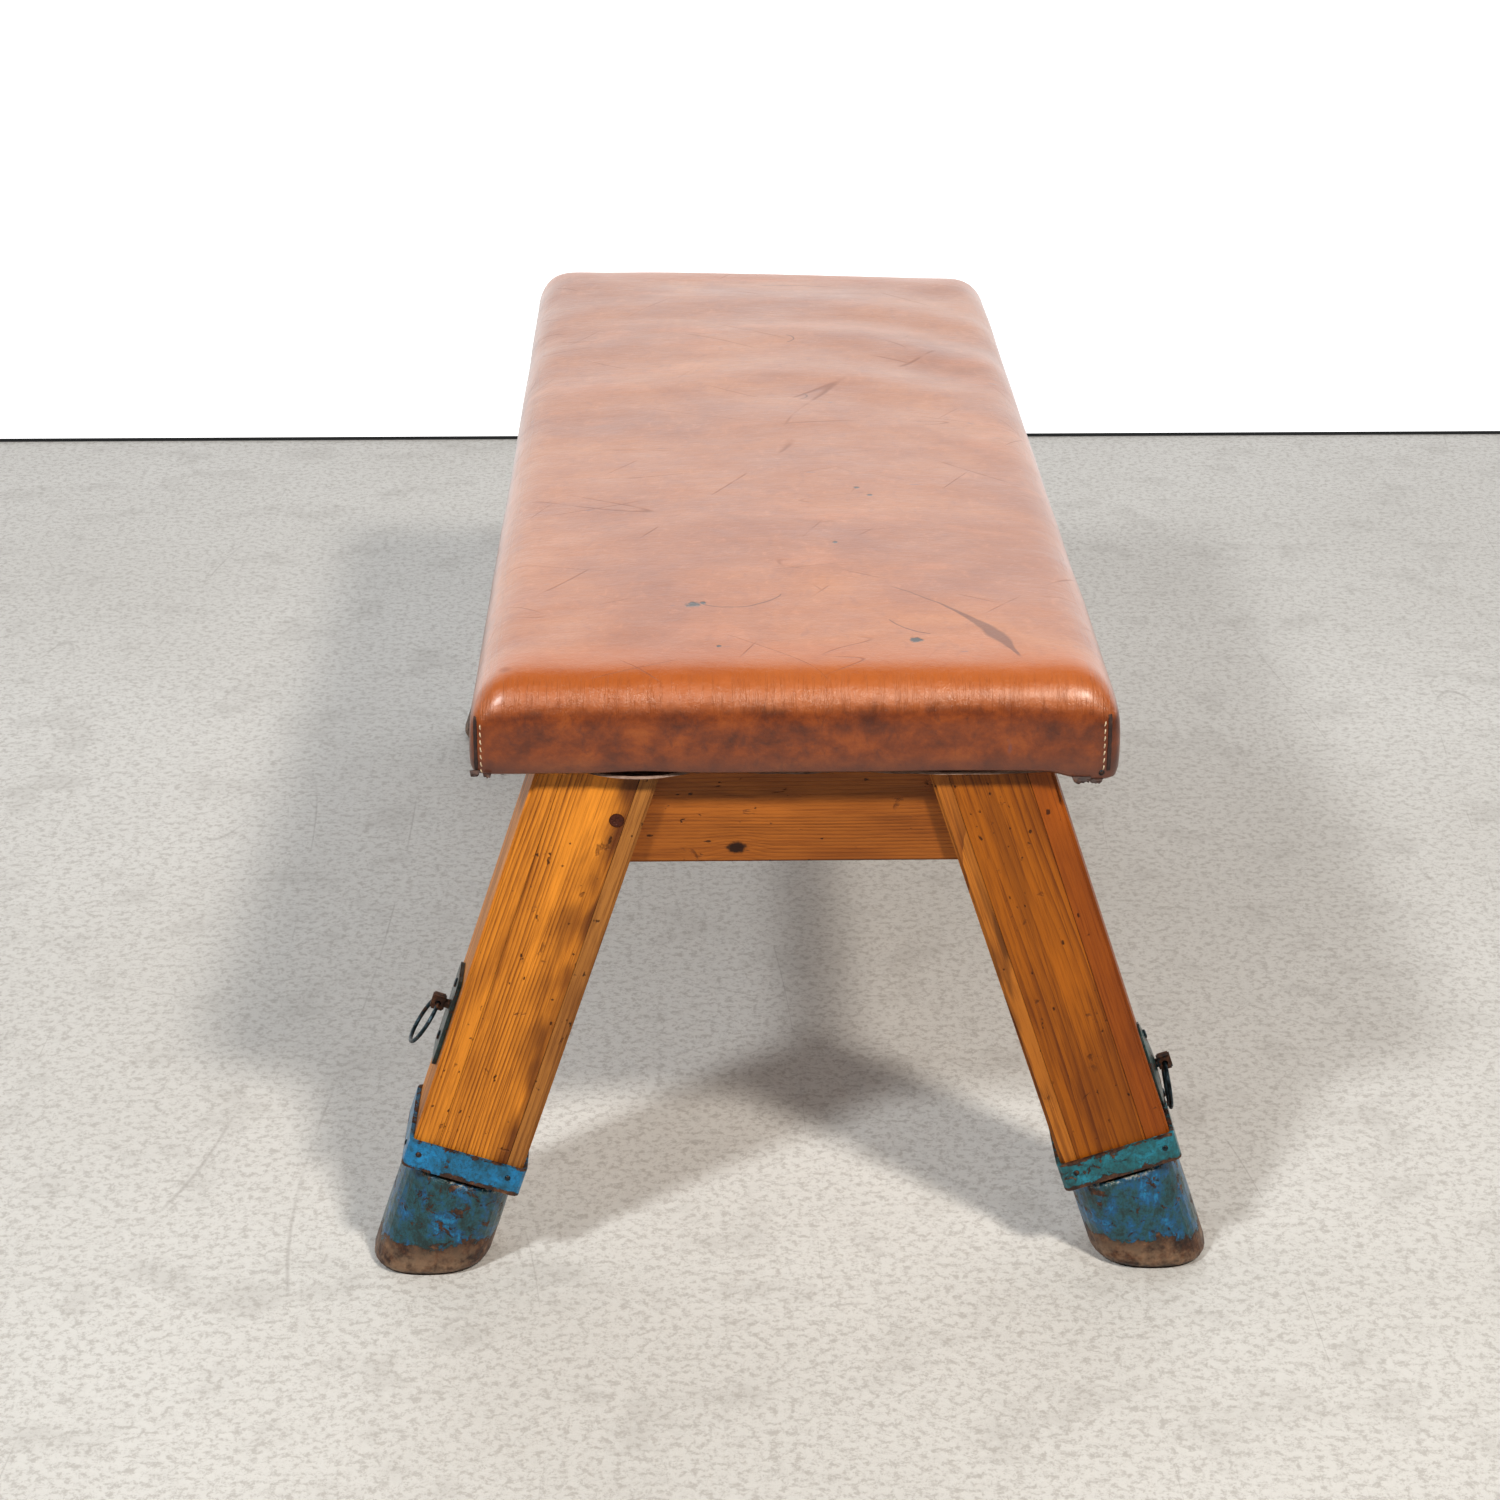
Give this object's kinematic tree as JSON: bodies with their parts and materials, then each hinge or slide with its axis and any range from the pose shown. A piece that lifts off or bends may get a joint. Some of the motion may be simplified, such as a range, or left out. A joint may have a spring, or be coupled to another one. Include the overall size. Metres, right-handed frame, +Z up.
{
  "type": "pommel horse",
  "caption": "Low leather-topped gymnastics horse on splayed box legs with telescoping iron-shod extensions, locked by spring bolts with pull rings.",
  "frame": {"origin": "on the floor under the middle of the seat", "axes": "+Y along the seat towards its far end, +X to the right seen from the near end, +Z up"},
  "size_m": [0.5576, 1.01, 0.432],
  "materials": {
    "leather": "worn cognac leather, polished by use, with scratches and hand-stitched corners",
    "felt": "grey-brown horsehair felt",
    "plank_pine": "bare aged pine",
    "leg_pine": "honey-orange varnished pine, worn and bruised",
    "rail_pine": "darker varnished pine",
    "plug_wood": "dark end grain",
    "blue_paint": "chipped blue enamel over rusty iron",
    "dark_paint": "dark teal-black enamel, worn",
    "rusty_steel": "brown rust with traces of paint",
    "spring_steel": "dull spring steel"
  },
  "bodies": {
    "frame": {"leather_cover": "leather", "padding": "felt", "seat_plank_left": "plank_pine", "seat_plank_middle": "plank_pine", "seat_plank_right": "plank_pine", "near_end_rail": "rail_pine", "far_end_rail": "rail_pine", "left_side_rail": "rail_pine", "right_side_rail": "rail_pine", "near_left_end_board": "leg_pine", "near_left_middle_board": "leg_pine", "near_left_inner_board": "leg_pine", "near_left_outer_board": "leg_pine", "near_left_collar": "blue_paint", "near_left_latch_plate": "dark_paint", "near_left_latch_spring": "spring_steel", "near_left_wooden_plug": "plug_wood", "near_right_end_board": "leg_pine", "near_right_middle_board": "leg_pine", "near_right_inner_board": "leg_pine", "near_right_outer_board": "leg_pine", "near_right_collar": "blue_paint", "near_right_latch_plate": "dark_paint", "near_right_latch_spring": "spring_steel", "far_left_end_board": "leg_pine", "far_left_middle_board": "leg_pine", "far_left_inner_board": "leg_pine", "far_left_outer_board": "leg_pine", "far_left_collar": "blue_paint", "far_left_latch_plate": "dark_paint", "far_left_latch_spring": "spring_steel", "far_left_wooden_plug": "plug_wood", "far_right_end_board": "leg_pine", "far_right_middle_board": "leg_pine", "far_right_inner_board": "leg_pine", "far_right_outer_board": "leg_pine", "far_right_collar": "blue_paint", "far_right_latch_plate": "dark_paint", "far_right_latch_spring": "spring_steel"},
    "near_left_leg_extension": {"near_left_extension": "leg_pine", "near_left_shoe": "blue_paint"},
    "near_left_bolt": {"near_left_latch_bolt": "rusty_steel"},
    "near_left_ring": {"near_left_pull_ring": "rusty_steel"},
    "near_right_leg_extension": {"near_right_extension": "leg_pine", "near_right_shoe": "blue_paint"},
    "near_right_bolt": {"near_right_latch_bolt": "rusty_steel"},
    "near_right_ring": {"near_right_pull_ring": "rusty_steel"},
    "far_left_leg_extension": {"far_left_extension": "leg_pine", "far_left_shoe": "blue_paint"},
    "far_left_bolt": {"far_left_latch_bolt": "rusty_steel"},
    "far_left_ring": {"far_left_pull_ring": "rusty_steel"},
    "far_right_leg_extension": {"far_right_extension": "leg_pine", "far_right_shoe": "blue_paint"},
    "far_right_bolt": {"far_right_latch_bolt": "rusty_steel"},
    "far_right_ring": {"far_right_pull_ring": "rusty_steel"}
  },
  "joints": [
    {"name": "near_left_leg_slide", "type": "slide", "parent": "frame", "child": "near_left_leg_extension", "axis": [-0.3156, 0, -0.9489], "range_m": [0, 0.12]},
    {"name": "near_left_bolt_pull", "type": "slide", "parent": "frame", "child": "near_left_bolt", "axis": [-0.9489, 0, 0.3156], "range_m": [0, 0.006], "stiffness_N_per_m": 900, "springref_m": -0.004, "deforming": ["near_left_latch_spring"]},
    {"name": "near_left_ring_swing", "type": "hinge", "parent": "near_left_bolt", "child": "near_left_ring", "pos_m": [-0.22941, -0.456, 0.18665], "axis": [0, 1, 0], "range_deg": [-26, 141]},
    {"name": "near_right_leg_slide", "type": "slide", "parent": "frame", "child": "near_right_leg_extension", "axis": [0.3156, 0, -0.9489], "range_m": [0, 0.12]},
    {"name": "near_right_bolt_pull", "type": "slide", "parent": "frame", "child": "near_right_bolt", "axis": [0.9489, 0, 0.3156], "range_m": [0, 0.006], "stiffness_N_per_m": 900, "springref_m": -0.004, "deforming": ["near_right_latch_spring"]},
    {"name": "near_right_ring_swing", "type": "hinge", "parent": "near_right_bolt", "child": "near_right_ring", "pos_m": [0.24551, -0.456, 0.13825], "axis": [0, -1, 0], "range_deg": [0, 167]},
    {"name": "far_left_leg_slide", "type": "slide", "parent": "frame", "child": "far_left_leg_extension", "axis": [-0.3156, 0, -0.9489], "range_m": [0, 0.12]},
    {"name": "far_left_bolt_pull", "type": "slide", "parent": "frame", "child": "far_left_bolt", "axis": [-0.9489, 0, 0.3156], "range_m": [0, 0.006], "stiffness_N_per_m": 900, "springref_m": -0.004, "deforming": ["far_left_latch_spring"]},
    {"name": "far_left_ring_swing", "type": "hinge", "parent": "far_left_bolt", "child": "far_left_ring", "pos_m": [-0.22941, 0.456, 0.18665], "axis": [0, 1, 0], "range_deg": [0, 167]},
    {"name": "far_right_leg_slide", "type": "slide", "parent": "frame", "child": "far_right_leg_extension", "axis": [0.3156, 0, -0.9489], "range_m": [0, 0.12]},
    {"name": "far_right_bolt_pull", "type": "slide", "parent": "frame", "child": "far_right_bolt", "axis": [0.9489, 0, 0.3156], "range_m": [0, 0.006], "stiffness_N_per_m": 900, "springref_m": -0.004, "deforming": ["far_right_latch_spring"]},
    {"name": "far_right_ring_swing", "type": "hinge", "parent": "far_right_bolt", "child": "far_right_ring", "pos_m": [0.24551, 0.456, 0.13825], "axis": [0, -1, 0], "range_deg": [0, 167]}
  ]
}
